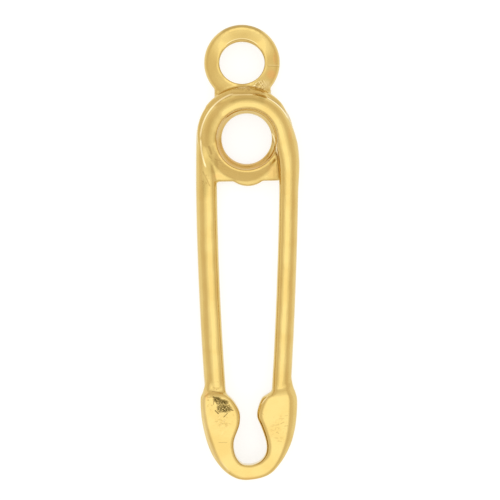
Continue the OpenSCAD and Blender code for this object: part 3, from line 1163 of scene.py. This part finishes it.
class Marker:
    """Places the rows of the tables as marks on the front of the casting, each table in one mask."""

    def __init__(self, tree, flat):
        self.tree = tree
        self.flat = flat
        self.arc = arc_group()
        self.stroke = stroke_group()
        self.patch = patch_group()
        self.line = lines_group()

    def mark(self, kind, strength, inputs):
        """Places one mark and weakens it to its strength."""
        made = node(self.tree, "Group", {"Place": self.flat, **inputs}, node_tree=kind)
        return times(self.tree, made.outputs["Mask"], strength)

    def arcs(self, rows):
        masks = []
        for x, y, radius, width, start, end, strength in rows:
            middle = math.radians((start + end) / 2)
            masks.append(self.mark(self.arc, strength, {
                "Centre": (x, y, 0), "Towards": (math.cos(middle), math.sin(middle), 0),
                "Radius": radius, "Width": width, "Reach": math.radians(end - start) / 2}))
        return strongest(self.tree, *masks)

    def strokes(self, rows):
        return strongest(self.tree, *[
            self.mark(self.stroke, strength, {
                "From": (from_x, from_y, 0), "To": (to_x, to_y, 0), "Width": width})
            for from_x, from_y, to_x, to_y, width, strength in rows])

    def patches(self, rows):
        return strongest(self.tree, *[
            self.mark(self.patch, strength, {
                "Centre": (x, y, 0), "Size": (half_width, half_height, 1)})
            for x, y, half_width, half_height, strength in rows])

    def lines(self, turn, density, clean, strength):
        return self.mark(self.line, strength, {
            "Turn": (0, 0, math.radians(turn)), "Density": density, "Clean": clean})


def gold_masks(tree, place, peel):
    """How strong each kind of mark and of painted shade, highlight and reflection is over the surface, by
    its name.
    """
    flat = vectors(tree, "MULTIPLY", place, (1, 1, 0))
    marker = Marker(tree, flat)
    pits = times(tree, fade(tree, peel, *PIT_PEEL), marker.patches(PITTED_PATCHES))
    filed = marker.patches(FILED_PATCHES)
    on_front = {
        "dull": marker.patches(DULL_PATCHES),
        # Painted shade in deep places
        "shaded": strongest(tree, marker.patches(SHADED_PATCHES), marker.arcs(SHADED_ARCS)),
        "filed": times(tree, marker.lines(*FILE_LINES), filed),
        # Painted shade in creases, with dark scratches and pits
        "crease_shade_and_marks": strongest(
            tree, marker.arcs(CREASE_SHADE_ARCS), marker.strokes(SHADE_AND_SCRATCH_STROKES), times(tree, pits, PIT_SHARE)),
        # Painted highlights and painted glints
        "highlight": strongest(
            tree, marker.arcs(HIGHLIGHT_ARCS), marker.strokes(HIGHLIGHT_STROKES),
            times(tree, marker.lines(*GLINT_LINES), filed), marker.patches(HIGHLIGHT_PATCHES)),
        "spot": strongest(
            tree, times(tree, marker.lines(*SPOT_LINES), marker.patches(SPOT_PATCHES)),
            marker.strokes(SPOT_STROKES)),
    }
    height = node(tree, "SeparateXYZ", {0: place}).outputs["Z"]
    front = fade(tree, height, *FRONT_HEIGHT)
    masks = {name: times(tree, mask, front) for name, mask in on_front.items()}
    # Painted reflection of gold in gold, reddish
    masks["warm_reflection"] = marker.patches(WARM_REFLECTION_PATCHES)
    # Painted shade on the wall of the coil's hole and in the crease beside the right leg
    masks["wall"] = strongest(tree, marker.arcs(HOLE_WALL_SHADE_ARCS), marker.strokes(CREASE_SHADE_STROKES))
    # Painted pale reflection on steep sides away from the hole of the coil
    facing = node(tree, "SeparateXYZ", {0: node(tree, "TexCoord").outputs["Normal"]}).outputs["Z"]
    from_coil = vectors(tree, "LENGTH", vectors(tree, "SUBTRACT", flat, (COIL_X, COIL_Y, 0)))
    masks["steep_reflection"] = times(
        tree, fade(tree, facing, *STEEP_FACING), fade(tree, from_coil, *STEEP_DISTANCE))
    return masks


def gold_colour(tree, masks, mottle):
    """Gold, with each kind of mark and of painted light and shade laid over those before it."""
    colour = tint(tree, fade(tree, mottle, *DEEP_MOTTLE), GOLD, DEEP_GOLD)
    for name, share, marked in LAYERS:
        colour = tint(tree, times(tree, masks[name], share), colour, marked)
    return colour


def gold():
    """Polished yellow gold with the marks of its making and its wear, and with painted shade, highlights
    and reflections.
    """
    material = bpy.data.materials.new("polished_gold")
    material.use_nodes = True
    tree = material.node_tree
    place = scaled(tree, node(tree, "TexCoord").outputs["Object"], 1 / MM)
    mottle, waves, peel = (noise(tree, place, *row) for row in (MOTTLE, WAVES, PEEL))
    masks = gold_masks(tree, place, peel)
    roughness = fade(tree, mottle, *ROUGH_MOTTLE, ROUGHNESS, ROUGHNESS + MOTTLE_ROUGHNESS)
    for name, gain in ROUGHENING.items():
        roughness = work_out(tree, "MULTIPLY_ADD", masks[name], gain, roughness)
    relief = times(tree, waves, WAVE_RELIEF)
    relief = work_out(tree, "MULTIPLY_ADD", peel, PEEL_RELIEF, relief)
    for name, rise in MARK_RELIEF.items():
        relief = work_out(tree, "MULTIPLY_ADD", masks[name], rise, relief)
    bump = node(tree, "Bump", {"Strength": 1, "Distance": MM, "Height": relief})
    shader = tree.nodes["Principled BSDF"]
    tree.links.new(gold_colour(tree, masks, mottle), shader.inputs["Base Color"])
    tree.links.new(roughness, shader.inputs["Roughness"])
    tree.links.new(bump.outputs["Normal"], shader.inputs["Normal"])
    shader.inputs["Metallic"].default_value = 1
    return material


charm = casting()
charm.data.materials.clear()
charm.data.materials.append(gold())
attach(charm, "root")
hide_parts("pin_charm")

camera()
studio()
